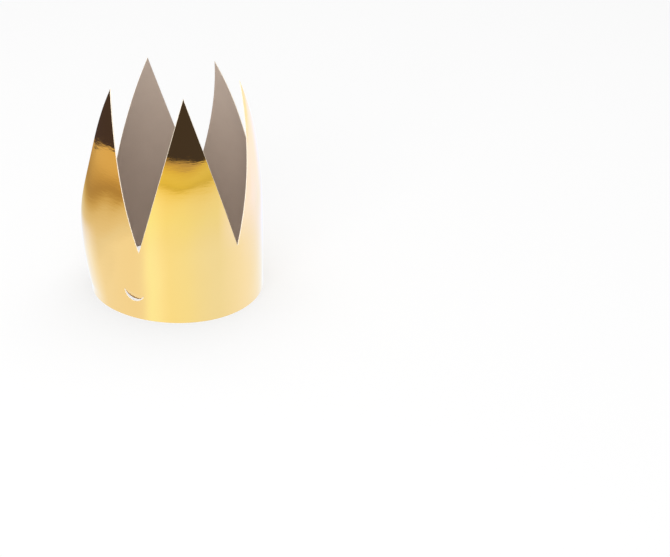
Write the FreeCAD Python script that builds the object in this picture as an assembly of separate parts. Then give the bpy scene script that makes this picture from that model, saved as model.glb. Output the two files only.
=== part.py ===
import FreeCAD, Part
import math
import os

from FreeCAD import Vector
from Part import Geom2d

# The card blank, in millimetres, measured flat
card_thickness = 0.4
band_height = 45.8
spike_height = 94.2
spike_pitch = 61.3

# Degrees that each tip has curled inward, one value for each spike, from the tab end round
tip_lean = (15.0, 22.0, 15.0, 23.0, 23.0)

# Degrees by which each curl is turned, counter-clockwise from above, from straight towards the axis
curl_turn = (0.0, -6.6, 0.0, 5.6, -6.6)

# The locking tab, an anchor shape on the end beside the first spike
lock_height = 19.5
neck_width = 13.0
neck_reach = 37.5
head_width = 27.5
barb_sweep = 2.6
tab_foot = 11.5

# The plain end beside the last spike, with slits to choose the size from, counted from 0
plain_end_reach = 20.2
plain_end_height = 34.0
slit_length = 21.0
slit_bulge = 1.8
slit_width = 0.4
slit_count = 3
slit_pitch = 9.0
middle_slit_offset = 2.5
used_slit = 1
used_slit_width = 2.2

# How the tab lies in its slit: play between layers, and the run over which it dives through
layer_play = 0.2
dive_run = 3.0
root_past_slit = 1.5

# Two half-moon cuts that take the ends of a thread, hinged at their upper edge
moon_width = 13.5
moon_depth = 5.2
moon_height = 17.5
moon_spacing = 194.3
moon_play = 0.15
moon_push = 2.8
moon_lift = 0.8

# The card rolled into a loop: bearings in degrees from the front, counter-clockwise from above
first_notch_bearing = -17.5
oval_swell = 0.9
oval_bearing = 26.0
lobe_swell = -0.9
lobe_bearing = -17.0

# How far the free corner at the seam springs out, how far round that reaches, and its wave's height
corner_flare = 3.6
flare_reach = 40.0
flare_reach_to_tab = 25.0
flare_wave = 80.0
flare_start = 8.0

# Spacing of the control points of the bent surface, coarse and, at the slit, fine
grid_step = 3.0
fine_step = 0.6
fine_reach = 4.0
grid_margin = 3.0

# Largest gap that is closed where two faces share a cut
sewing_gap = 0.001

# Values that follow from the ones above
spike_count = len(tip_lean)
card_height = band_height + spike_height
last_notch = spike_count * spike_pitch
first_slit = last_notch + middle_slit_offset - slit_pitch * (slit_count - 1) / 2
slit_places = [first_slit + slit_pitch * index for index in range(slit_count)]
tab_at_slit = neck_reach - root_past_slit
closed_length = slit_places[used_slit] + tab_at_slit
loop_radius = closed_length / (2 * math.pi)
layer_step = card_thickness + layer_play
plain_end = last_notch + plain_end_reach
head_centre = -(neck_reach + barb_sweep)
tab_end = head_centre - head_width / 2


def smooth_step(x):
    """Rise from 0 to 1 with level ends."""
    x = min(max(x, 0.0), 1.0)
    return x * x * (3 - 2 * x)


def bearing(s):
    """Bearing in radians of the card at length s along the blank, from the first notch corner."""
    return math.radians(first_notch_bearing) + (s - spike_pitch) / loop_radius


def slit_line(v, place):
    """Length along the blank at which a slit's bowed centre line lies, at height v."""
    across = 2 * (v - lock_height) / slit_length
    return place + slit_bulge * max(0.0, 1 - across * across)


def spring_out(s, v):
    """How far the card near the seam's free corner stands off the loop, in a wave up the card."""
    reach = flare_reach if s > 0 else flare_reach_to_tab
    nearness = math.cos(math.pi / 2 * min(abs(s) / reach, 1.0)) ** 2
    wave = math.sin(math.pi * v / flare_wave) * smooth_step(v / flare_start)
    return corner_flare * nearness * wave


def loop_distance(s, v):
    """Distance of the upright card from the loop's axis: a slightly oval spiral of one turn."""
    angle = bearing(s)
    oval = oval_swell * math.cos(2 * (angle - math.radians(oval_bearing)))
    lobe = lobe_swell * math.cos(3 * (angle - math.radians(lobe_bearing)))
    spiral = layer_step * (0.5 - s / closed_length)
    crossing = slit_line(v, slit_places[used_slit]) - closed_length
    dive = 2 * layer_step * smooth_step(0.5 + (crossing - s) / dive_run)
    return loop_radius + oval + lobe + spiral - dive + spring_out(s, v)


def spike_curl(index, v):
    """How far a spike has moved inward and how high it stands, at height v on the card."""
    lean = math.radians(tip_lean[index])
    turned = lean * (v - band_height) / spike_height
    bend_radius = spike_height / lean
    away = bearing((index + 0.5) * spike_pitch) + math.radians(curl_turn[index])
    inward = bend_radius * (1 - math.cos(turned))
    rise = bend_radius * math.sin(turned)
    return Vector(-inward * math.sin(away), inward * math.cos(away), band_height + rise)


def bent_point(s, v):
    """Place in space of the card's middle plane, from its place (s, v) on the flat blank."""
    radius = loop_distance(s, v)
    angle = bearing(s)
    ring = Vector(radius * math.sin(angle), -radius * math.cos(angle), 0)
    if v <= band_height:
        return ring + Vector(0, 0, v)
    place = min(max(s / spike_pitch - 0.5, 0.0), spike_count - 1.0)
    left = min(int(place), spike_count - 2)
    gap = (v - band_height) / spike_height
    share = smooth_step((place - left - 0.5) / gap + 0.5)
    return ring + spike_curl(left, v) * (1 - share) + spike_curl(left + 1, v) * share


def card_point(s, v, depth):
    """Place in space of a point that lies depth outward of the card's middle plane."""
    tiny = 0.001
    along = bent_point(s + tiny, v) - bent_point(s - tiny, v)
    up = bent_point(s, v + tiny) - bent_point(s, v - tiny)
    return bent_point(s, v) + along.cross(up).normalize() * depth


def even_values(start, end, step):
    """Evenly spaced values from start up to, but without, end."""
    count = max(1, round((end - start) / step))
    return [start + (end - start) * i / count for i in range(count)]


def knots_of(values):
    """Full knot list of a cubic curve with these breaks, clamped at both ends."""
    return [values[0]] * 3 + values + [values[-1]] * 3


def pole_places(knots):
    """Parameter that each control point of a cubic curve belongs to."""
    return [sum(knots[i + 1:i + 4]) / 3 for i in range(len(knots) - 4)]


def bent_surface(depth):
    """Surface of the bent card at this depth, whose parameters are the blank's own s and v."""
    slit_middle = slit_places[used_slit] - closed_length
    start, end = tab_end - grid_margin, plain_end + grid_margin
    fine_start, fine_end = slit_middle - fine_reach, slit_middle + slit_bulge + fine_reach
    along = even_values(start, fine_start, grid_step) + even_values(fine_start, fine_end, fine_step)
    along += even_values(fine_end, end, grid_step) + [end]
    top = card_height + grid_margin
    up = even_values(0, top, grid_step) + [top]
    s_places, v_places = pole_places(knots_of(along)), pole_places(knots_of(up))
    poles = [[card_point(s, v, depth) for v in v_places] for s in s_places]
    surface = Part.BSplineSurface()
    ends = [4] + [1] * (len(along) - 2) + [4], [4] + [1] * (len(up) - 2) + [4]
    surface.buildFromPolesMultsKnots(poles, ends[0], ends[1], along, up, False, False, 3, 3)
    return surface


def flat(s, v):
    """Point of the flat blank."""
    return FreeCAD.Base.Vector2d(s, v)


def line(start, end):
    """Straight cut."""
    return Geom2d.Line2dSegment(flat(*start), flat(*end))


def quarter_ellipse(start, corner, end):
    """Rounded cut that leaves start and reaches end along the two sides that meet at corner."""
    pull = 4 * (math.sqrt(2) - 1) / 3
    curve = Geom2d.BezierCurve2d()
    near_start = [a + pull * (c - a) for a, c in zip(start, corner)]
    near_end = [b + pull * (c - b) for b, c in zip(end, corner)]
    curve.setPoles([flat(*start), flat(*near_start), flat(*near_end), flat(*end)])
    return curve


def arc(centre, radius, start, end):
    """Circular cut, counter-clockwise between two angles in radians."""
    circle = Geom2d.Circle2d(flat(*centre), radius)
    return Geom2d.ArcOfCircle2d(circle, start, end)


def blank_outline():
    """Outer cut of the blank, counter-clockwise from the tab end's foot."""
    cuts = [line((-tab_foot, 0), (plain_end, 0))]
    cuts.append(line((plain_end, 0), (plain_end, plain_end_height)))
    shoulder = (last_notch, plain_end_height)
    cuts.append(quarter_ellipse((plain_end, plain_end_height), shoulder, (last_notch, band_height)))
    for index in reversed(range(spike_count)):
        tip = ((index + 0.5) * spike_pitch, card_height)
        cuts.append(line(((index + 1) * spike_pitch, band_height), tip))
        cuts.append(line(tip, (index * spike_pitch, band_height)))
    neck_top, neck_bottom = lock_height + neck_width / 2, lock_height - neck_width / 2
    head_top, head_bottom = lock_height + head_width / 2, lock_height - head_width / 2
    cuts.append(quarter_ellipse((0, band_height), (0, neck_top), (-neck_reach, neck_top)))
    cuts.append(line((-neck_reach, neck_top), (head_centre, head_top)))
    cuts.append(arc((head_centre, lock_height), head_width / 2, math.pi / 2, 3 * math.pi / 2))
    cuts.append(line((head_centre, head_bottom), (-neck_reach, neck_bottom)))
    cuts.append(quarter_ellipse((-neck_reach, neck_bottom), (-tab_foot, neck_bottom), (-tab_foot, 0)))
    return cuts


def slit_cut(place, width):
    """Closed outline of a bowed slit with round ends."""
    radius = (slit_length ** 2 / 4 + slit_bulge ** 2) / (2 * slit_bulge)
    half_angle = math.asin(slit_length / 2 / radius)
    centre = (place + slit_bulge - radius, lock_height)
    upper = (place, lock_height + slit_length / 2)
    lower = (place, lock_height - slit_length / 2)
    return [
        arc(centre, radius + width / 2, -half_angle, half_angle),
        arc(upper, width / 2, half_angle, half_angle + math.pi),
        arc(centre, radius - width / 2, -half_angle, half_angle),
        arc(lower, width / 2, math.pi - half_angle, 2 * math.pi - half_angle),
    ]


def moon_arc(middle, play):
    """Arc of a half-moon, drawn in from its cut by play, and the two ends of it on the hinge line."""
    radius = (moon_width ** 2 / 4 + moon_depth ** 2) / (2 * moon_depth)
    centre_height = moon_height - moon_depth + radius
    drop = math.asin((centre_height - moon_height) / (radius - play))
    reach = (radius - play) * math.cos(drop)
    curve = arc((middle, centre_height), radius - play, math.pi + drop, 2 * math.pi - drop)
    return curve, (middle - reach, moon_height), (middle + reach, moon_height)


def moon_cuts(middle):
    """The half-moon's hole as its arc and two short shoulders, the hinge, and the flap's own arc."""
    hole_arc, hole_left, hole_right = moon_arc(middle, 0)
    flap_arc, flap_left, flap_right = moon_arc(middle, moon_play)
    shoulders = [line(flap_left, hole_left), line(hole_right, flap_right)]
    return [hole_arc] + shoulders, line(flap_right, flap_left), flap_arc


def flap_surface(surface, middle):
    """Piece of the bent surface below a half-moon's hinge, swung inward."""
    flap = surface.copy()
    bottom = moon_height - moon_depth
    flap.segment(middle - moon_width / 2, middle + moon_width / 2, bottom, moon_height)
    inward = Vector(-math.sin(bearing(middle)), math.cos(bearing(middle)), 0)
    rows = flap.NbVPoles
    for row in range(1, rows):
        share = (rows - row) / (rows - 1)
        for column in range(1, flap.NbUPoles + 1):
            pole = flap.getPole(column, row) + inward * moon_push * share + Vector(0, 0, moon_lift * share)
            flap.setPole(column, row, pole)
    return flap


def cut_face(surface, loops):
    """Face of the bent card inside its outer cut and outside its holes."""
    wires = [Part.Wire([cut.toShape(surface) for cut in loop]) for loop in loops]
    face = Part.Face(surface, wires[0])
    if len(wires) > 1:
        face.cutHoles(wires[1:])
    face.validate()
    return face


def card_edge(outer, inner, cut):
    """Narrow face through the card's thickness along one cut."""
    return Part.makeRuledSurface(cut.toShape(outer), cut.toShape(inner))


def bottom_edge(outer, inner, cut):
    """Flat face along the bottom of the band, on which the crown stands."""
    outside, inside = cut.toShape(outer), cut.toShape(inner)
    ends = [(side.Vertexes[0].Point, side.Vertexes[-1].Point) for side in (outside, inside)]
    closings = [Part.makeLine(*pair) for pair in zip(*ends)]
    return Part.Face(Part.Plane(), Part.Wire([outside, closings[1], inside, closings[0]]))


def build_crown():
    """The crown as one solid: both sides of the card, its cut edges and the flaps of its half-moons."""
    outer, inner = bent_surface(card_thickness / 2), bent_surface(-card_thickness / 2)
    outline = blank_outline()
    widths = [used_slit_width if index == used_slit else slit_width for index in range(slit_count)]
    slits = [slit_cut(place, width) for place, width in zip(slit_places, widths)]
    middles = [(last_notch + side * moon_spacing) / 2 for side in (-1, 1)]
    moons = [moon_cuts(middle) for middle in middles]
    holes = slits + [hole + [hinge] for hole, hinge, flap_arc in moons]
    faces = [cut_face(surface, [outline] + holes) for surface in (outer, inner)]
    faces.append(bottom_edge(outer, inner, outline[0]))
    open_cuts = [outline[1:]] + slits + [hole for hole, hinge, flap_arc in moons]
    faces += [card_edge(outer, inner, cut) for cuts in open_cuts for cut in cuts]
    for middle, (hole, hinge, flap_arc) in zip(middles, moons):
        flaps = [flap_surface(surface, middle) for surface in (outer, inner)]
        faces += [cut_face(flap, [[hinge, flap_arc]]) for flap in flaps]
        faces.append(card_edge(*flaps, flap_arc))
    skin = Part.Compound(faces)
    skin.sewShape(sewing_gap)
    return Part.Solid(skin.Shells[0])


crown = build_crown()
box = crown.optimalBoundingBox()
crown.translate(Vector(-box.Center.x, -box.Center.y, -box.ZMin))
print("crown_sheet", crown.ShapeType, crown.isValid(), box.XLength, box.YLength, box.ZLength)
os.makedirs("parts", exist_ok=True)
crown.exportStep("parts/crown_sheet.step")
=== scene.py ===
import math

import bmesh
import bpy
import numpy as np
from mathutils import Matrix, Vector
from mathutils.geometry import delaunay_2d_cdt


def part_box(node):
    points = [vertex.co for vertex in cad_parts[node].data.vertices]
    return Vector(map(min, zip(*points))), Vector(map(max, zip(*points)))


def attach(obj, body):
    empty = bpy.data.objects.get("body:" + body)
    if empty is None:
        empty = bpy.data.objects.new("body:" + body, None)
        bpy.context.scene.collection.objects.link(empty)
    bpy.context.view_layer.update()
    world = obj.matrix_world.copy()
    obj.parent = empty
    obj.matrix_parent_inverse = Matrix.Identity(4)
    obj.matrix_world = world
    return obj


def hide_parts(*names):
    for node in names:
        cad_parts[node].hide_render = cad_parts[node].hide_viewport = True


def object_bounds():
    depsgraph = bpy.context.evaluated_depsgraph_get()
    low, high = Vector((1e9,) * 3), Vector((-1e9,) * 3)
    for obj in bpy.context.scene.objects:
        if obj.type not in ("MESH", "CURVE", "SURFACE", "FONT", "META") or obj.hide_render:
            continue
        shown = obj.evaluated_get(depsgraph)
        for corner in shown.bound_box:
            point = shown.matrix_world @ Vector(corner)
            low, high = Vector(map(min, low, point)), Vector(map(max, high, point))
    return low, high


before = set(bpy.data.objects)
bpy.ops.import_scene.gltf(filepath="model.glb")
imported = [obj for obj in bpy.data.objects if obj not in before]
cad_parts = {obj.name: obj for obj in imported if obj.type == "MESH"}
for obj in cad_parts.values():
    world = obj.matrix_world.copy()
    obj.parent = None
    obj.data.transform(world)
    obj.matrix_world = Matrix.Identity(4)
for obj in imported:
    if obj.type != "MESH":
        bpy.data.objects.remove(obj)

cad_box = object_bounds()

MILLIMETRE = 0.001

# The card blank's sizes in millimetres and the angles of its bends, the same as the solid's
CARD_THICKNESS = 0.4
BAND_HEIGHT = 45.8
SPIKE_HEIGHT = 94.2
SPIKE_PITCH = 61.3
TIP_LEAN = np.radians((15.0, 22.0, 15.0, 23.0, 23.0))
CURL_TURN = np.radians((0.0, -6.6, 0.0, 5.6, -6.6))
LOCK_HEIGHT = 19.5
NECK_WIDTH = 13.0
NECK_REACH = 37.5
HEAD_WIDTH = 27.5
BARB_SWEEP = 2.6
TAB_FOOT = 11.5
PLAIN_END_REACH = 20.2
PLAIN_END_HEIGHT = 34.0
SLIT_LENGTH = 21.0
SLIT_BULGE = 1.8
SLIT_WIDTH = 0.4
SLIT_COUNT = 3
SLIT_PITCH = 9.0
MIDDLE_SLIT_OFFSET = 2.5
USED_SLIT = 1
USED_SLIT_WIDTH = 2.2
LAYER_PLAY = 0.2
DIVE_RUN = 3.0
ROOT_PAST_SLIT = 1.5
MOON_WIDTH = 13.5
MOON_DEPTH = 5.2
MOON_HEIGHT = 17.5
MOON_SPACING = 194.3
MOON_PLAY = 0.15
FIRST_NOTCH_BEARING = math.radians(-17.5)
OVAL_SWELL = 0.9
OVAL_BEARING = math.radians(26.0)
LOBE_SWELL = -0.9
LOBE_BEARING = math.radians(-17.0)
CORNER_FLARE = 3.6
FLARE_REACH = 40.0
FLARE_REACH_TO_TAB = 25.0
FLARE_WAVE = 80.0
FLARE_START = 8.0

# What the looks add: a first spike that turns a little towards the front about an upright line,
# half-moons that are a little tilted and less open, and gentle waves in the card, where each wave has
# its height, its length along the blank, its length up the blank and its start
FIRST_SPIKE_TURN = math.radians(14.5)
FIRST_SPIKE_PIVOT = 28.0
MOON_TILT = math.radians(-12.0)
MOON_PUSH = 1.5
MOON_LIFT = 0.4
WAVES = (
    (0.030, 46.0, 71.0, 0.4),
    (0.020, -29.0, 43.0, 2.1),
    (0.010, 17.0, -31.0, 4.0),
)
# Width of the strip along each cut where the film is crushed and the card's pale core shows
CUT_ROUNDING = 0.2
MESH_STEP = 1.3
FINE_MESH_STEP = 0.6
# Share of the mesh step by which inner points stay clear of every cut
BORDER_CLEARANCE = 0.55
# A triangle with less than half this area is left out of the mesh
SLIVER = 1e-4
# Sides that meet at a sharper angle than this are creased, as at the hinge of a half-moon
CREASE = math.radians(8.0)
# Points of the finished mesh that lie this near to each other, in metres, are joined
SAME_PLACE = 2e-6

# Places of the materials on the crown's mesh
FILM, BACK, CUT = 0, 1, 2

# Share of the floor's colour that the camera sees as plain white
FLOOR_WHITENESS = 0.68

# Values that follow
SPIKE_COUNT = len(TIP_LEAN)
CARD_HEIGHT = BAND_HEIGHT + SPIKE_HEIGHT
LAST_NOTCH = SPIKE_COUNT * SPIKE_PITCH
FIRST_SLIT = LAST_NOTCH + MIDDLE_SLIT_OFFSET - SLIT_PITCH * (SLIT_COUNT - 1) / 2
SLIT_PLACES = [FIRST_SLIT + SLIT_PITCH * index for index in range(SLIT_COUNT)]
CLOSED_LENGTH = SLIT_PLACES[USED_SLIT] + NECK_REACH - ROOT_PAST_SLIT
LOOP_RADIUS = CLOSED_LENGTH / (2 * math.pi)
LAYER_STEP = CARD_THICKNESS + LAYER_PLAY
PLAIN_END = LAST_NOTCH + PLAIN_END_REACH
HEAD_CENTRE = -(NECK_REACH + BARB_SWEEP)
MOON_MIDDLES = [(LAST_NOTCH + side * MOON_SPACING) / 2 for side in (-1, 1)]


def smooth_step(x):
    """Rise from 0 to 1 with level ends."""
    x = np.clip(x, 0.0, 1.0)
    return x * x * (3 - 2 * x)


def bearing(s):
    """Bearing of the card at length s along the blank, from the front, counter-clockwise from above."""
    return FIRST_NOTCH_BEARING + (s - SPIKE_PITCH) / LOOP_RADIUS


def slit_line(v, place):
    """Length along the blank at which a slit's bowed centre line lies, at height v."""
    across = 2 * (v - LOCK_HEIGHT) / SLIT_LENGTH
    return place + SLIT_BULGE * np.maximum(0.0, 1 - across * across)


def spring_out(s, v):
    """How far the card near the seam's free corner stands off the loop, in a wave up the card."""
    reach = np.where(s > 0, FLARE_REACH, FLARE_REACH_TO_TAB)
    nearness = np.cos(math.pi / 2 * np.minimum(np.abs(s) / reach, 1.0)) ** 2
    return CORNER_FLARE * nearness * np.sin(math.pi * v / FLARE_WAVE) * smooth_step(v / FLARE_START)


def waver(s, v):
    """Gentle waves of the springy card, which the mirror film shows in its reflections."""
    total = np.zeros_like(s)
    for height, length_along, length_up, start in WAVES:
        total += height * np.sin(2 * math.pi * (s / length_along + v / length_up) + start)
    return total * smooth_step(v / FLARE_START)


def loop_distance(s, v):
    """Distance of the upright card from the loop's axis: a slightly oval spiral of one turn."""
    angle = bearing(s)
    oval = OVAL_SWELL * np.cos(2 * (angle - OVAL_BEARING))
    lobe = LOBE_SWELL * np.cos(3 * (angle - LOBE_BEARING))
    spiral = LAYER_STEP * (0.5 - s / CLOSED_LENGTH)
    crossing = slit_line(v, SLIT_PLACES[USED_SLIT]) - CLOSED_LENGTH
    dive = 2 * LAYER_STEP * smooth_step(0.5 + (crossing - s) / DIVE_RUN)
    return LOOP_RADIUS + oval + lobe + spiral - dive + spring_out(s, v) + waver(s, v)


def spike_curl(index, above):
    """How far spikes have moved inward and risen, at heights above the notch level."""
    lean = TIP_LEAN[index]
    turned = lean * above / SPIKE_HEIGHT
    inward = SPIKE_HEIGHT / lean * (1 - np.cos(turned))
    rise = SPIKE_HEIGHT / lean * np.sin(turned)
    away = bearing((index + 0.5) * SPIKE_PITCH) + CURL_TURN[index]
    return np.stack([-inward * np.sin(away), inward * np.cos(away), rise], axis=-1)


def ring_points(s, v):
    """Places of the upright card before its spikes curl."""
    radius, angle = loop_distance(s, v), bearing(s)
    return np.stack([radius * np.sin(angle), -radius * np.cos(angle), np.minimum(v, BAND_HEIGHT)], axis=-1)


def first_spike_turn(ring, v, above):
    """Shift by which the first spike's points turn about its pivot line, more and more towards the tip."""
    arm = ring - ring_points(np.full_like(v, FIRST_SPIKE_PIVOT), v)
    turn = FIRST_SPIKE_TURN * (above / SPIKE_HEIGHT) ** 2
    cos, sin = np.cos(turn), np.sin(turn)
    x = arm[:, 0] * (cos - 1) - arm[:, 1] * sin
    y = arm[:, 0] * sin + arm[:, 1] * (cos - 1)
    return np.stack([x, y, np.zeros_like(v)], axis=-1)


def bent_points(flat):
    """Places in space of the card's middle plane, from places (s, v) on the flat blank."""
    s, v = flat[:, 0], flat[:, 1]
    ring = ring_points(s, v)
    above = np.maximum(v - BAND_HEIGHT, 0.0)
    place = np.clip(s / SPIKE_PITCH - 0.5, 0.0, SPIKE_COUNT - 1.0)
    left = np.minimum(place.astype(int), SPIKE_COUNT - 2)
    gap = np.maximum(above / SPIKE_HEIGHT, 1e-9)
    share = smooth_step((place - left - 0.5) / gap + 0.5)[:, None]
    first = np.where(left[:, None] == 0, 1 - share, 0.0) * first_spike_turn(ring, v, above)
    return ring + spike_curl(left, above) * (1 - share) + spike_curl(left + 1, above) * share + first


def card_points(flat, depth):
    """Places in space of points that lie depth outward of the card's middle plane."""
    tiny = 0.01
    along = bent_points(flat + (tiny, 0)) - bent_points(flat - (tiny, 0))
    up = bent_points(flat + (0, tiny)) - bent_points(flat - (0, tiny))
    normal = np.cross(along, up)
    normal /= np.linalg.norm(normal, axis=1)[:, None]
    return bent_points(flat) + normal * depth


def line(start, end, step):
    """Points of a straight cut, without its end."""
    start, end = np.array(start, float), np.array(end, float)
    count = max(1, round(np.linalg.norm(end - start) / step))
    return start + (end - start) * np.arange(count)[:, None] / count


def quarter_ellipse(start, corner, end, step):
    """Points of a rounded cut between two sides that meet at corner, without its end."""
    start, corner, end = (np.array(p, float) for p in (start, corner, end))
    arc_to_chord = 1.15
    count = max(4, round(np.linalg.norm(end - start) * arc_to_chord / step))
    turn = math.pi / 2 * np.arange(count)[:, None] / count
    centre = start + end - corner
    return centre + (start - centre) * np.cos(turn) + (end - centre) * np.sin(turn)


def arc(centre, radius, start, end, step):
    """Points of a circular cut between two angles, without its end."""
    count = max(3, round(abs(end - start) * radius / step))
    angle = start + (end - start) * np.arange(count) / count
    return np.array(centre) + radius * np.stack([np.cos(angle), np.sin(angle)], axis=-1)


def blank_outline():
    """Outer cut of the blank, counter-clockwise from the tab end's foot."""
    step = MESH_STEP
    cuts = [line((-TAB_FOOT, 0), (PLAIN_END, 0), step)]
    cuts.append(line((PLAIN_END, 0), (PLAIN_END, PLAIN_END_HEIGHT), step))
    shoulder = (LAST_NOTCH, PLAIN_END_HEIGHT)
    cuts.append(quarter_ellipse((PLAIN_END, PLAIN_END_HEIGHT), shoulder, (LAST_NOTCH, BAND_HEIGHT), step))
    for index in reversed(range(SPIKE_COUNT)):
        tip = ((index + 0.5) * SPIKE_PITCH, CARD_HEIGHT)
        cuts.append(line(((index + 1) * SPIKE_PITCH, BAND_HEIGHT), tip, step))
        cuts.append(line(tip, (index * SPIKE_PITCH, BAND_HEIGHT), step))
    neck_top, neck_bottom = LOCK_HEIGHT + NECK_WIDTH / 2, LOCK_HEIGHT - NECK_WIDTH / 2
    head_top, head_bottom = LOCK_HEIGHT + HEAD_WIDTH / 2, LOCK_HEIGHT - HEAD_WIDTH / 2
    cuts.append(quarter_ellipse((0, BAND_HEIGHT), (0, neck_top), (-NECK_REACH, neck_top), step))
    cuts.append(line((-NECK_REACH, neck_top), (HEAD_CENTRE, head_top), step))
    cuts.append(arc((HEAD_CENTRE, LOCK_HEIGHT), HEAD_WIDTH / 2, math.pi / 2, 3 * math.pi / 2, step))
    cuts.append(line((HEAD_CENTRE, head_bottom), (-NECK_REACH, neck_bottom), step))
    cuts.append(quarter_ellipse((-NECK_REACH, neck_bottom), (-TAB_FOOT, neck_bottom), (-TAB_FOOT, 0), step))
    return np.concatenate(cuts)


def slit_cut(place, width):
    """Closed outline of a bowed slit with round ends."""
    radius = (SLIT_LENGTH ** 2 / 4 + SLIT_BULGE ** 2) / (2 * SLIT_BULGE)
    half_angle = math.asin(SLIT_LENGTH / 2 / radius)
    centre = (place + SLIT_BULGE - radius, LOCK_HEIGHT)
    upper = (place, LOCK_HEIGHT + SLIT_LENGTH / 2)
    lower = (place, LOCK_HEIGHT - SLIT_LENGTH / 2)
    end_step = width / 3
    return np.concatenate([
        arc(centre, radius + width / 2, -half_angle, half_angle, FINE_MESH_STEP),
        arc(upper, width / 2, half_angle, half_angle + math.pi, end_step),
        arc(centre, radius - width / 2, half_angle, -half_angle, FINE_MESH_STEP),
        arc(lower, width / 2, math.pi - half_angle, 2 * math.pi - half_angle, end_step),
    ])


def turned(points, middle, angle):
    """Flat points turned about the middle of a half-moon's hinge."""
    pivot = np.array((middle, MOON_HEIGHT))
    cos, sin = math.cos(angle), math.sin(angle)
    return pivot + (points - pivot) @ np.array(((cos, sin), (-sin, cos)))


def moon_arc(middle, play):
    """Points of a half-moon's arc, drawn in by play, from its left end on the hinge to its right one."""
    radius = (MOON_WIDTH ** 2 / 4 + MOON_DEPTH ** 2) / (2 * MOON_DEPTH)
    centre_height = MOON_HEIGHT - MOON_DEPTH + radius
    drop = math.asin((centre_height - MOON_HEIGHT) / (radius - play))
    centre = (middle, centre_height)
    reach = (radius - play) * math.cos(drop)
    curve = arc(centre, radius - play, math.pi + drop, 2 * math.pi - drop, FINE_MESH_STEP)
    return curve, reach


def moon_loops(middle):
    """Outline of a half-moon's hole and outline of its flap, which share the hinge."""
    hole, hole_reach = moon_arc(middle, 0)
    flap, flap_reach = moon_arc(middle, MOON_PLAY)
    right, left = (middle + flap_reach, MOON_HEIGHT), (middle - flap_reach, MOON_HEIGHT)
    hinge = line(right, left, FINE_MESH_STEP)
    shoulder = np.array([(middle + hole_reach, MOON_HEIGHT)])
    hole_loop = np.concatenate([hole, shoulder, hinge, [left]])
    flap_loop = np.concatenate([flap, hinge])
    return turned(hole_loop, middle, MOON_TILT), turned(flap_loop, middle, MOON_TILT)


def inside(points, loops):
    """Whether each point lies inside the loops, with even and odd crossings counted."""
    found = np.zeros(len(points), bool)
    for loop in loops:
        ends = np.roll(loop, -1, axis=0)
        for (ax, ay), (bx, by) in zip(loop, ends):
            if ay == by:
                continue
            between = (points[:, 1] >= min(ay, by)) & (points[:, 1] < max(ay, by))
            found ^= between & (points[:, 0] < ax + (points[:, 1] - ay) * (bx - ax) / (by - ay))
    return found


def hexagonal_grid(low, high, step):
    """Evenly spread points of a box, in rows that are set off by half a step."""
    rows = np.arange(low[1], high[1], step * math.sqrt(3) / 2)
    return np.concatenate([
        [(s, v) for s in np.arange(low[0] + (index % 2) * step / 2, high[0], step)]
        for index, v in enumerate(rows)
    ])


def filled(loops, step):
    """Flat triangle mesh inside the loops: its points and its triangles."""
    border = np.concatenate(loops)
    grid = hexagonal_grid(border.min(0), border.max(0), step)
    grid = grid[inside(grid, loops)]
    clear = np.full(len(grid), True)
    for place in border:
        clear &= np.abs(grid - place).max(1) > step * BORDER_CLEARANCE
    edges, first = [], 0
    for loop in loops:
        count = len(loop)
        edges += [(first + i, first + (i + 1) % count) for i in range(count)]
        first += count
    points = [Vector(point) for point in np.concatenate([border, grid[clear]])]
    made = delaunay_2d_cdt(points, edges, [], 0, 1e-6, False)
    flat = np.array([tuple(point) for point in made[0]])
    triangles = np.array(made[2])
    first, second = (flat[triangles[:, corner]] - flat[triangles[:, 0]] for corner in (1, 2))
    whole = np.abs(first[:, 0] * second[:, 1] - first[:, 1] * second[:, 0]) > SLIVER
    return flat, triangles[whole & inside(flat[triangles].mean(1), loops)]


def border_edges(triangles):
    """Directed edges that only one triangle uses, in a lasting order."""
    edges = np.concatenate([triangles[:, (0, 1)], triangles[:, (1, 2)], triangles[:, (2, 0)]]).tolist()
    seen = {tuple(edge) for edge in edges}
    return [(a, b) for a, b in edges if (b, a) not in seen]


def on_hinge(pair):
    """Whether both ends of an edge lie on the stretch of a hinge where flap and card join."""
    slack = 1e-4
    for middle in MOON_MIDDLES:
        level = turned(pair, middle, -MOON_TILT)
        reach = moon_arc(middle, MOON_PLAY)[1] + slack
        if np.all(np.abs(level[:, 1] - MOON_HEIGHT) < slack) and np.all(np.abs(level[:, 0] - middle) < reach):
            return True
    return False


def drawn_in(flat, edges):
    """The flat points, with those on a cut moved into the card by the width of the crushed strip."""
    inward = np.zeros_like(flat)
    for a, b in edges:
        along = flat[b] - flat[a]
        normal = np.array((-along[1], along[0])) / np.linalg.norm(along)
        inward[[a, b]] += normal
    length = np.linalg.norm(inward, axis=1)[:, None]
    return flat + CUT_ROUNDING * inward / np.maximum(length, 1.0)


def flap_shift(flat, middle):
    """How far a flap's points have swung inward and up, from their distance below the tilted hinge."""
    level = turned(flat, middle, -MOON_TILT)
    share = np.clip((MOON_HEIGHT - level[:, 1]) / MOON_DEPTH, 0, 1)[:, None]
    angle = bearing(middle)
    inward = np.array((-math.sin(angle), math.cos(angle), 0.0))
    return share * (inward * MOON_PUSH + np.array((0, 0, MOON_LIFT)))


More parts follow.
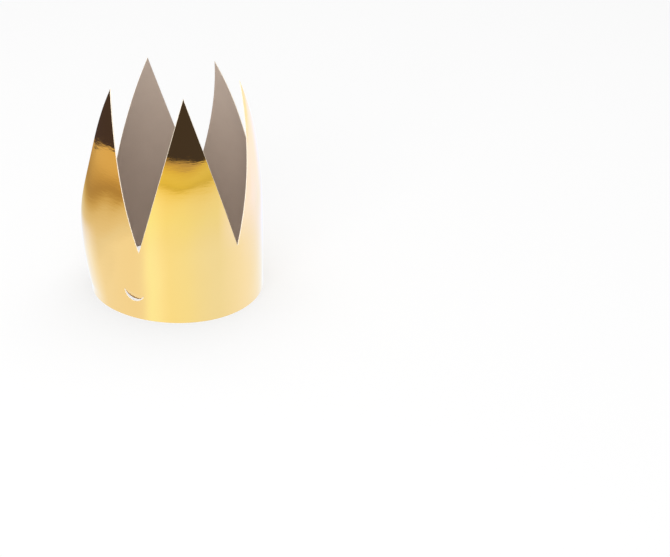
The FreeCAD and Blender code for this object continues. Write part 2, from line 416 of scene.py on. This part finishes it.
def patch_mesh(loops, step, middle=None):
    """One stretch of card with both its sides and its cut edges: points, faces and their finishes."""
    flat, triangles = filled(loops, step)
    edges = [edge for edge in border_edges(triangles) if not on_hinge(flat[list(edge)])]
    shift = 0 if middle is None else flap_shift(flat, middle)
    half = CARD_THICKNESS / 2
    top = card_points(drawn_in(flat, edges), half) + shift
    brow = card_points(flat, half - CUT_ROUNDING) + shift
    below = card_points(flat, -half) + shift
    count = len(flat)
    faces = [tuple(triangle) for triangle in triangles.tolist()]
    faces += [(2 * count + a, 2 * count + c, 2 * count + b) for a, b, c in triangles.tolist()]
    for a, b in edges:
        faces.append((b, a, count + a, count + b))
    for a, b in edges:
        faces.append((count + b, count + a, 2 * count + a, 2 * count + b))
    finishes = [FILM] * len(triangles) + [BACK] * len(triangles) + [CUT] * (2 * len(edges))
    return np.concatenate([top, brow, below]), faces, finishes


def sheet_mesh():
    """The whole crown as one mesh: points, faces and the finish of each face."""
    moons = [moon_loops(middle) for middle in MOON_MIDDLES]
    widths = [USED_SLIT_WIDTH if index == USED_SLIT else SLIT_WIDTH for index in range(SLIT_COUNT)]
    slits = [slit_cut(place, width) for place, width in zip(SLIT_PLACES, widths)]
    patches = [patch_mesh([blank_outline()] + slits + [hole for hole, flap in moons], MESH_STEP)]
    for middle, (hole, flap) in zip(MOON_MIDDLES, moons):
        patches.append(patch_mesh([flap], FINE_MESH_STEP, middle))
    points, faces, finishes = [], [], []
    first = 0
    for patch_points, patch_faces, patch_finishes in patches:
        points.append(patch_points)
        faces += [tuple(first + index for index in face) for face in patch_faces]
        finishes += patch_finishes
        first += len(patch_points)
    return np.concatenate(points) * MILLIMETRE, faces, finishes


def make_crown(materials):
    """The crown's object, set down where its frame stands."""
    points, faces, finishes = sheet_mesh()
    low, high = (np.array(corner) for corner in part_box("crown_sheet"))
    shift = (low + high) / 2 - (points.min(0) + points.max(0)) / 2
    shift[2] = low[2] - points[:, 2].min()
    mesh = bpy.data.meshes.new("crown")
    mesh.from_pydata((points + shift).tolist(), [], faces)
    for material in materials:
        mesh.materials.append(material)
    mesh.polygons.foreach_set("material_index", finishes)
    crown = bpy.data.objects.new("crown", mesh)
    bpy.context.scene.collection.objects.link(crown)
    smooth_sides(mesh)
    return crown


def smooth_sides(mesh):
    """Join the flaps to the card and shade both sides smooth, with crisp cut edges."""
    body = bmesh.new()
    body.from_mesh(mesh)
    bmesh.ops.remove_doubles(body, verts=body.verts, dist=SAME_PLACE)
    loose = [vertex for vertex in body.verts if not vertex.link_faces]
    bmesh.ops.delete(body, geom=loose, context="VERTS")
    for face in body.faces:
        face.smooth = face.material_index != CUT
    for edge in body.edges:
        kinds = {face.material_index for face in edge.link_faces}
        edge.smooth = kinds in ({FILM}, {BACK}) and edge.calc_face_angle(0.0) < CREASE
    body.to_mesh(mesh)
    body.free()


class Nodes:
    """Short way to write a node tree."""

    def __init__(self, tree):
        self.tree = tree
        tree.nodes.clear()

    def fill(self, socket, value):
        """Give a socket its value, or the link that brings it."""
        if isinstance(value, bpy.types.NodeSocket):
            self.tree.links.new(value, socket)
        else:
            socket.default_value = value

    def set(self, node, **values):
        """Fill a node's inputs by name, with _ for each space."""
        for name, value in values.items():
            self.fill(node.inputs[name.replace("_", " ")], value)

    def add(self, kind, **values):
        """A new node with these inputs."""
        node = self.tree.nodes.new(kind)
        self.set(node, **values)
        return node

    def maths(self, operation, *values):
        """Result of one sum on numbers."""
        node = self.tree.nodes.new("ShaderNodeMath")
        node.operation = operation
        for socket, value in zip(node.inputs, values):
            self.fill(socket, value)
        return node.outputs[0]

    def scaled(self, value, factor, offset=0.0):
        """A number times factor, plus offset."""
        return self.maths("MULTIPLY_ADD", value, factor, offset)

    def clamped(self, value):
        """A number kept between 0 and 1."""
        return self.add("ShaderNodeClamp", Value=value).outputs[0]

    def mix(self, share, first, second, blend="MIX"):
        """Blend of two colours."""
        node = self.tree.nodes.new("ShaderNodeMix")
        node.data_type = "RGBA"
        node.blend_type = blend
        for socket, value in zip((node.inputs[0], node.inputs[6], node.inputs[7]), (share, first, second)):
            self.fill(socket, value)
        return node.outputs[2]

    def noise(self, scale, detail, roughness=0.5, stretch=(1, 1, 1)):
        """Soft noise through the object, as a number about one half, with its scale in waves per metre."""
        place = self.add("ShaderNodeTexCoord").outputs["Object"]
        spread = self.add("ShaderNodeMapping", Vector=place, Scale=stretch).outputs[0]
        node = self.add("ShaderNodeTexNoise", Vector=spread, Scale=scale, Detail=detail, Roughness=roughness)
        return node.outputs[0]

    def between(self, value, start, end):
        """Share from 0 to 1 by which a number has gone from start to end."""
        return self.clamped(self.scaled(value, 1 / (end - start), -start / (end - start)))

    def ramp(self, value, stops):
        """Colour by a number from -1 to 1, from stops that each hold such a number and its colour."""
        node = self.add("ShaderNodeValToRGB", Fac=self.scaled(value, 0.5, 0.5))
        elements = node.color_ramp.elements
        while len(elements) < len(stops):
            elements.new(0.5)
        for element, (place, colour) in zip(elements, stops):
            element.position = (place + 1) / 2
            element.color = (*colour, 1)
        return node.outputs[0]

    def bump(self, height, distance, normal=None):
        """Surface normal over a height field of this height in metres, on top of another normal."""
        node = self.add("ShaderNodeBump", Height=height, Distance=distance)
        if normal is not None:
            self.set(node, Normal=normal)
        return node.outputs[0]


def new_material(name):
    material = bpy.data.materials.new(name)
    material.use_nodes = True
    return material, Nodes(material.node_tree)


def gold_film():
    """Mirror gold film on card: a lacquered, clear reflection, broken a little by the fibres beneath."""
    material, nodes = new_material("gold_film")
    colour = nodes.mix(nodes.noise(scale=22.0, detail=3.0), (0.98, 0.67, 0.27, 1), (1.0, 0.71, 0.31, 1))
    haze = nodes.scaled(nodes.noise(scale=160.0, detail=4.0), 0.02, 0.025)
    long_waves = nodes.noise(scale=130.0, detail=1.0, stretch=(1, 1, 4.5))
    waves = nodes.bump(long_waves, 1.1e-5)
    grain = nodes.noise(scale=480.0, detail=3.0, roughness=0.6, stretch=(1, 1, 2.6))
    pimples = nodes.bump(grain, 7e-6, waves)
    shader = nodes.add("ShaderNodeBsdfPrincipled", Base_Color=colour, Metallic=1.0, Roughness=haze)
    nodes.set(shader, Normal=pimples, Coat_Weight=1.0, Coat_Roughness=0.03, Coat_IOR=1.5, Coat_Normal=pimples)
    nodes.add("ShaderNodeOutputMaterial", Surface=shader.outputs[0])
    return material


def grey_card():
    """Bare back of the card: warm grey, matt, with faint fibres and mottling."""
    material, nodes = new_material("grey_card")
    mottle = nodes.noise(scale=140.0, detail=5.0, roughness=0.6)
    colour = nodes.mix(mottle, (0.48, 0.387, 0.32, 1), (0.53, 0.43, 0.36, 1))
    fibres = nodes.noise(scale=2400.0, detail=4.0, roughness=0.7, stretch=(1, 1, 0.35))
    relief = nodes.bump(fibres, 1.2e-5)
    shader = nodes.add("ShaderNodeBsdfPrincipled", Base_Color=colour, Roughness=0.62, Normal=relief)
    nodes.add("ShaderNodeOutputMaterial", Surface=shader.outputs[0])
    return material


def cut_edge():
    """Freshly cut edge of the card, pale cream with fibres."""
    material, nodes = new_material("cut_edge")
    fibres = nodes.noise(scale=1800.0, detail=3.0)
    colour = nodes.mix(fibres, (0.97, 0.80, 0.58, 1), (1.0, 0.92, 0.76, 1))
    shader = nodes.add("ShaderNodeBsdfPrincipled", Base_Color=colour, Roughness=0.7)
    nodes.add("ShaderNodeOutputMaterial", Surface=shader.outputs[0])
    return material


def floor_white():
    """Plain pale floor. For the camera it is partly plain white, which keeps the shadow faint."""
    material, nodes = new_material("floor_white")
    lit = nodes.add("ShaderNodeBsdfDiffuse", Color=(0.94, 0.94, 0.94, 1))
    white = nodes.add("ShaderNodeEmission", Color=(1, 1, 1, 1))
    seen = nodes.scaled(nodes.add("ShaderNodeLightPath").outputs["Is Camera Ray"], FLOOR_WHITENESS)
    shader = nodes.add("ShaderNodeMixShader", Fac=seen)
    nodes.fill(shader.inputs[1], lit.outputs[0])
    nodes.fill(shader.inputs[2], white.outputs[0])
    nodes.add("ShaderNodeOutputMaterial", Surface=shader.outputs[0])
    return material


def make_floor():
    """A wide floor just under the crown."""
    reach, gap = 6.0, 1e-4
    mesh = bpy.data.meshes.new("floor")
    corners = [(-reach, -reach, 0), (reach, -reach, 0), (reach, reach, 0), (-reach, reach, 0)]
    mesh.from_pydata(corners, [], [(0, 1, 2, 3)])
    mesh.materials.append(floor_white())
    floor = bpy.data.objects.new("floor", mesh)
    floor.location.z = cad_box[0].z - gap
    floor.visible_glossy = False
    bpy.context.scene.collection.objects.link(floor)


# What the mirror film sees, by the sine of the elevation: a pale table towards the front
FRONT_TABLE = (
    (-1.00, (0.94, 0.98, 0.78)),
    (-0.475, (0.94, 0.99, 0.75)),
    (-0.41, (0.93, 0.97, 0.70)),
    (-0.28, (0.93, 0.96, 0.58)),
    (-0.21, (0.93, 0.93, 0.53)),
    (-0.178, (0.92, 0.90, 0.48)),
    (-0.145, (0.90, 0.85, 0.39)),
    (-0.110, (0.84, 0.75, 0.25)),
    (-0.096, (0.66, 0.56, 0.12)),
    (-0.078, (0.74, 0.64, 0.14)),
    (-0.043, (0.78, 0.68, 0.17)),
    (0.000, (0.73, 0.60, 0.14)),
    (0.025, (0.60, 0.46, 0.15)),
    (0.055, (0.46, 0.34, 0.14)),
)
# The same towards the left, where the table is warmer and darker
LEFT_TABLE = (
    (-1.00, (0.92, 0.92, 0.84)),
    (-0.505, (0.92, 0.91, 0.80)),
    (-0.487, (0.87, 0.85, 0.73)),
    (-0.467, (0.83, 0.81, 0.69)),
    (-0.436, (0.80, 0.74, 0.56)),
    (-0.404, (0.77, 0.69, 0.48)),
    (-0.374, (0.72, 0.62, 0.38)),
    (-0.347, (0.61, 0.47, 0.21)),
    (-0.322, (0.46, 0.32, 0.12)),
    (-0.306, (0.43, 0.29, 0.11)),
    (-0.280, (0.55, 0.38, 0.14)),
    (-0.246, (0.68, 0.49, 0.20)),
    (-0.214, (0.71, 0.52, 0.22)),
    (1.00, (0.72, 0.52, 0.23)),
)
# The pale backdrop behind the crown
BACKDROP = (
    (-0.475, (0.96, 1.02, 1.10)),
    (-0.45, (0.96, 1.04, 1.28)),
    (-0.38, (1.00, 1.11, 1.65)),
    (-0.27, (1.08, 1.13, 1.60)),
    (-0.25, (1.12, 1.08, 1.10)),
    (1.00, (1.12, 1.08, 1.05)),
)
# How the backdrop gets creamier, by the direction's share to the back
BACKDROP_TINT = (
    (0.63, (1.00, 1.00, 1.00)),
    (0.75, (0.99, 0.98, 0.86)),
    (0.83, (0.99, 0.95, 0.73)),
    (0.90, (0.98, 0.92, 0.72)),
)
# How the front table's light changes, by the direction's share to the right
TABLE_TINT = (
    (-1.00, (1.00, 0.92, 1.10)),
    (-0.66, (1.00, 0.97, 1.15)),
    (-0.58, (1.07, 1.09, 1.19)),
    (-0.50, (1.07, 1.15, 1.21)),
    (-0.40, (1.07, 1.11, 1.17)),
    (-0.30, (1.06, 1.05, 1.06)),
    (-0.19, (1.03, 1.01, 0.97)),
    (0.16, (1.00, 1.00, 1.02)),
    (0.40, (0.97, 0.98, 1.12)),
    (0.65, (0.95, 0.97, 1.20)),
    (1.00, (0.95, 0.97, 1.25)),
)
# The dark room above the table's far edge, towards the front and towards the left
FRONT_ROOM, LEFT_ROOM = (0.056, 0.046, 0.047, 1), (0.060, 0.044, 0.052, 1)
# Sine of the elevation of that edge, and over how much of it the dark sets in
EDGE_HEIGHT, EDGE_SOFTNESS = 0.064, 0.006
# How far the edge falls towards the left, and how that changes and bows from front to back
EDGE_DROP, EDGE_TURN, EDGE_BOW = 0.245, 0.112, 0.060
# How much less it falls at the far left, and how that changes from front to back
LEFT_EDGE_RISE, LEFT_EDGE_TURN = 0.0265, 0.082
# Share to the right beyond which the edge falls again, and how steeply
EDGE_CORNER, EDGE_SLANT = 0.33, 0.16
# How the streak across the left table bows
STREAK_MIDDLE, STREAK_BOW = 0.43, 0.12
# Shares to the right over which the edge falls, and over which the far left begins
FALL_SPAN, FAR_LEFT_SPAN = (-0.30, -0.65), (-0.76, -0.86)
# Where the left table takes over: leftward is the share to the left plus this much of the share to the back
LEFT_BY_BACK, LEFT_SPAN = 0.6, (0.15, 0.45)
# Where the backdrop takes over: behind the right, and low down behind the left
BEHIND_GAIN, BEHIND_START = 1.2, 0.33
BEHIND_LEFT_SPAN, LOW_SPAN = (0.15, 0.45), (-0.40, -0.48)
# Height over which the backdrop's tint sets in
CREAM_SPAN = (-0.44, -0.40)
# Plain light from all round, which reaches the matt surfaces
SOFT_LIGHT = (0.39, 0.39, 0.39, 1)


def table_colour(nodes, right, back, up, left):
    """Colour of the table, whose front part gives way to its left part."""
    tint = nodes.ramp(right, TABLE_TINT)
    front_table = nodes.mix(1.0, nodes.ramp(up, FRONT_TABLE), tint, "MULTIPLY")
    off_middle = nodes.maths("SUBTRACT", back, STREAK_MIDDLE)
    bow = nodes.scaled(nodes.maths("MULTIPLY", off_middle, off_middle), -STREAK_BOW)
    left_table = nodes.ramp(nodes.maths("ADD", up, bow), LEFT_TABLE)
    return nodes.mix(left, front_table, left_table)


def room_share(nodes, right, back, up):
    """Share of the dark room, which sets in at the table's far edge."""
    fall = nodes.maths("MULTIPLY_ADD", back, nodes.scaled(back, EDGE_BOW, EDGE_TURN), EDGE_DROP)
    fall = nodes.maths("MULTIPLY", fall, nodes.between(right, *FALL_SPAN))
    far_left = nodes.between(right, *FAR_LEFT_SPAN)
    further = nodes.maths("MULTIPLY", nodes.scaled(back, LEFT_EDGE_TURN, -LEFT_EDGE_RISE), far_left)
    fall = nodes.maths("ADD", fall, further)
    slant = nodes.maths("MAXIMUM", nodes.scaled(right, EDGE_SLANT, -EDGE_SLANT * EDGE_CORNER), 0.0)
    above = nodes.maths("ADD", nodes.maths("ADD", up, fall), slant)
    return nodes.between(above, EDGE_HEIGHT - EDGE_SOFTNESS / 2, EDGE_HEIGHT + EDGE_SOFTNESS / 2)


def behind_share(nodes, right, back, up):
    """Share of the backdrop, which stands behind the right and low down behind the left."""
    behind_right = nodes.scaled(right, BEHIND_GAIN, -BEHIND_START)
    behind_right = nodes.clamped(nodes.maths("ADD", behind_right, nodes.scaled(back, BEHIND_GAIN)))
    behind_left = nodes.between(back, *BEHIND_LEFT_SPAN)
    behind_left = nodes.maths("MULTIPLY", behind_left, nodes.between(up, *LOW_SPAN))
    return nodes.maths("MAXIMUM", behind_right, behind_left)


def backdrop_colour(nodes, back, up):
    """Colour of the backdrop, which is tinted from some way up."""
    tint = nodes.mix(nodes.between(up, *CREAM_SPAN), (1, 1, 1, 1), nodes.ramp(back, BACKDROP_TINT))
    return nodes.mix(1.0, nodes.ramp(up, BACKDROP), tint, "MULTIPLY")


def mirrored_room(nodes):
    """Colour of the studio that the mirror film reflects, from the direction alone."""
    direction = nodes.add("ShaderNodeTexCoord").outputs["Generated"]
    right, back, up = nodes.add("ShaderNodeSeparateXYZ", Vector=direction).outputs
    leftward = nodes.maths("SUBTRACT", nodes.scaled(back, LEFT_BY_BACK), right)
    left = nodes.between(leftward, *LEFT_SPAN)
    table = table_colour(nodes, right, back, up, left)
    dark = nodes.mix(left, FRONT_ROOM, LEFT_ROOM)
    room = nodes.mix(room_share(nodes, right, back, up), table, dark)
    return nodes.mix(behind_share(nodes, right, back, up), room, backdrop_colour(nodes, back, up))


def make_world():
    """White for the camera, plain soft light, and for the mirror a pale table under a dark room."""
    world = bpy.data.worlds.new("studio")
    bpy.context.scene.world = world
    world.use_nodes = True
    nodes = Nodes(world.node_tree)
    rays = nodes.add("ShaderNodeLightPath").outputs
    light = nodes.mix(rays["Is Glossy Ray"], SOFT_LIGHT, mirrored_room(nodes))
    seen = nodes.maths("MAXIMUM", rays["Is Camera Ray"], rays["Is Transmission Ray"])
    shown = nodes.mix(seen, light, (1, 1, 1, 1))
    background = nodes.add("ShaderNodeBackground", Color=shown, Strength=1.0)
    nodes.add("ShaderNodeOutputWorld", Surface=background.outputs[0])


def make_lamp(name, place, size, power):
    """Soft square lamp that looks at the crown's middle."""
    data = bpy.data.lights.new(name, "AREA")
    data.shape = "SQUARE"
    data.size = size
    data.energy = power
    lamp = bpy.data.objects.new(name, data)
    lamp.location = place
    aim = Vector((0, 0, cad_box[1].z / 2)) - Vector(place)
    lamp.rotation_euler = aim.to_track_quat("-Z", "Y").to_euler()
    lamp.visible_glossy = False
    bpy.context.scene.collection.objects.link(lamp)


def make_camera():
    """Camera at the photograph's place, with its pitch and its slight roll."""
    lens_pixels, frame_pixels = 1281.0, 670.0
    data = bpy.data.cameras.new("camera")
    data.sensor_width = 36.0
    data.lens = data.sensor_width * lens_pixels / frame_pixels
    data.clip_start = 0.01
    place = (0.10251, -0.72056, 0.40392)
    pitch, roll = math.radians(29.11), math.radians(-1.35)
    forward = Vector((0, math.cos(pitch), -math.sin(pitch)))
    right, up = Vector((1, 0, 0)), Vector((0, math.sin(pitch), math.cos(pitch)))
    turned_right = right * math.cos(roll) - up * math.sin(roll)
    turned_up = right * math.sin(roll) + up * math.cos(roll)
    axes = Matrix((turned_right, turned_up, -forward)).transposed()
    camera = bpy.data.objects.new("camera", data)
    camera.matrix_world = Matrix.Translation(place) @ axes.to_4x4()
    bpy.context.scene.collection.objects.link(camera)
    bpy.context.scene.camera = camera


crown = make_crown([gold_film(), grey_card(), cut_edge()])
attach(crown, "root")
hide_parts("crown_sheet")
make_floor()
make_world()
make_lamp("key_lamp", place=(-0.25, -1.3, 0.40), size=1.0, power=12.5)
make_lamp("top_lamp", place=(0.0, 0.2, 1.6), size=2.2, power=21.0)
make_camera()
bpy.context.scene.view_settings.view_transform = "Standard"
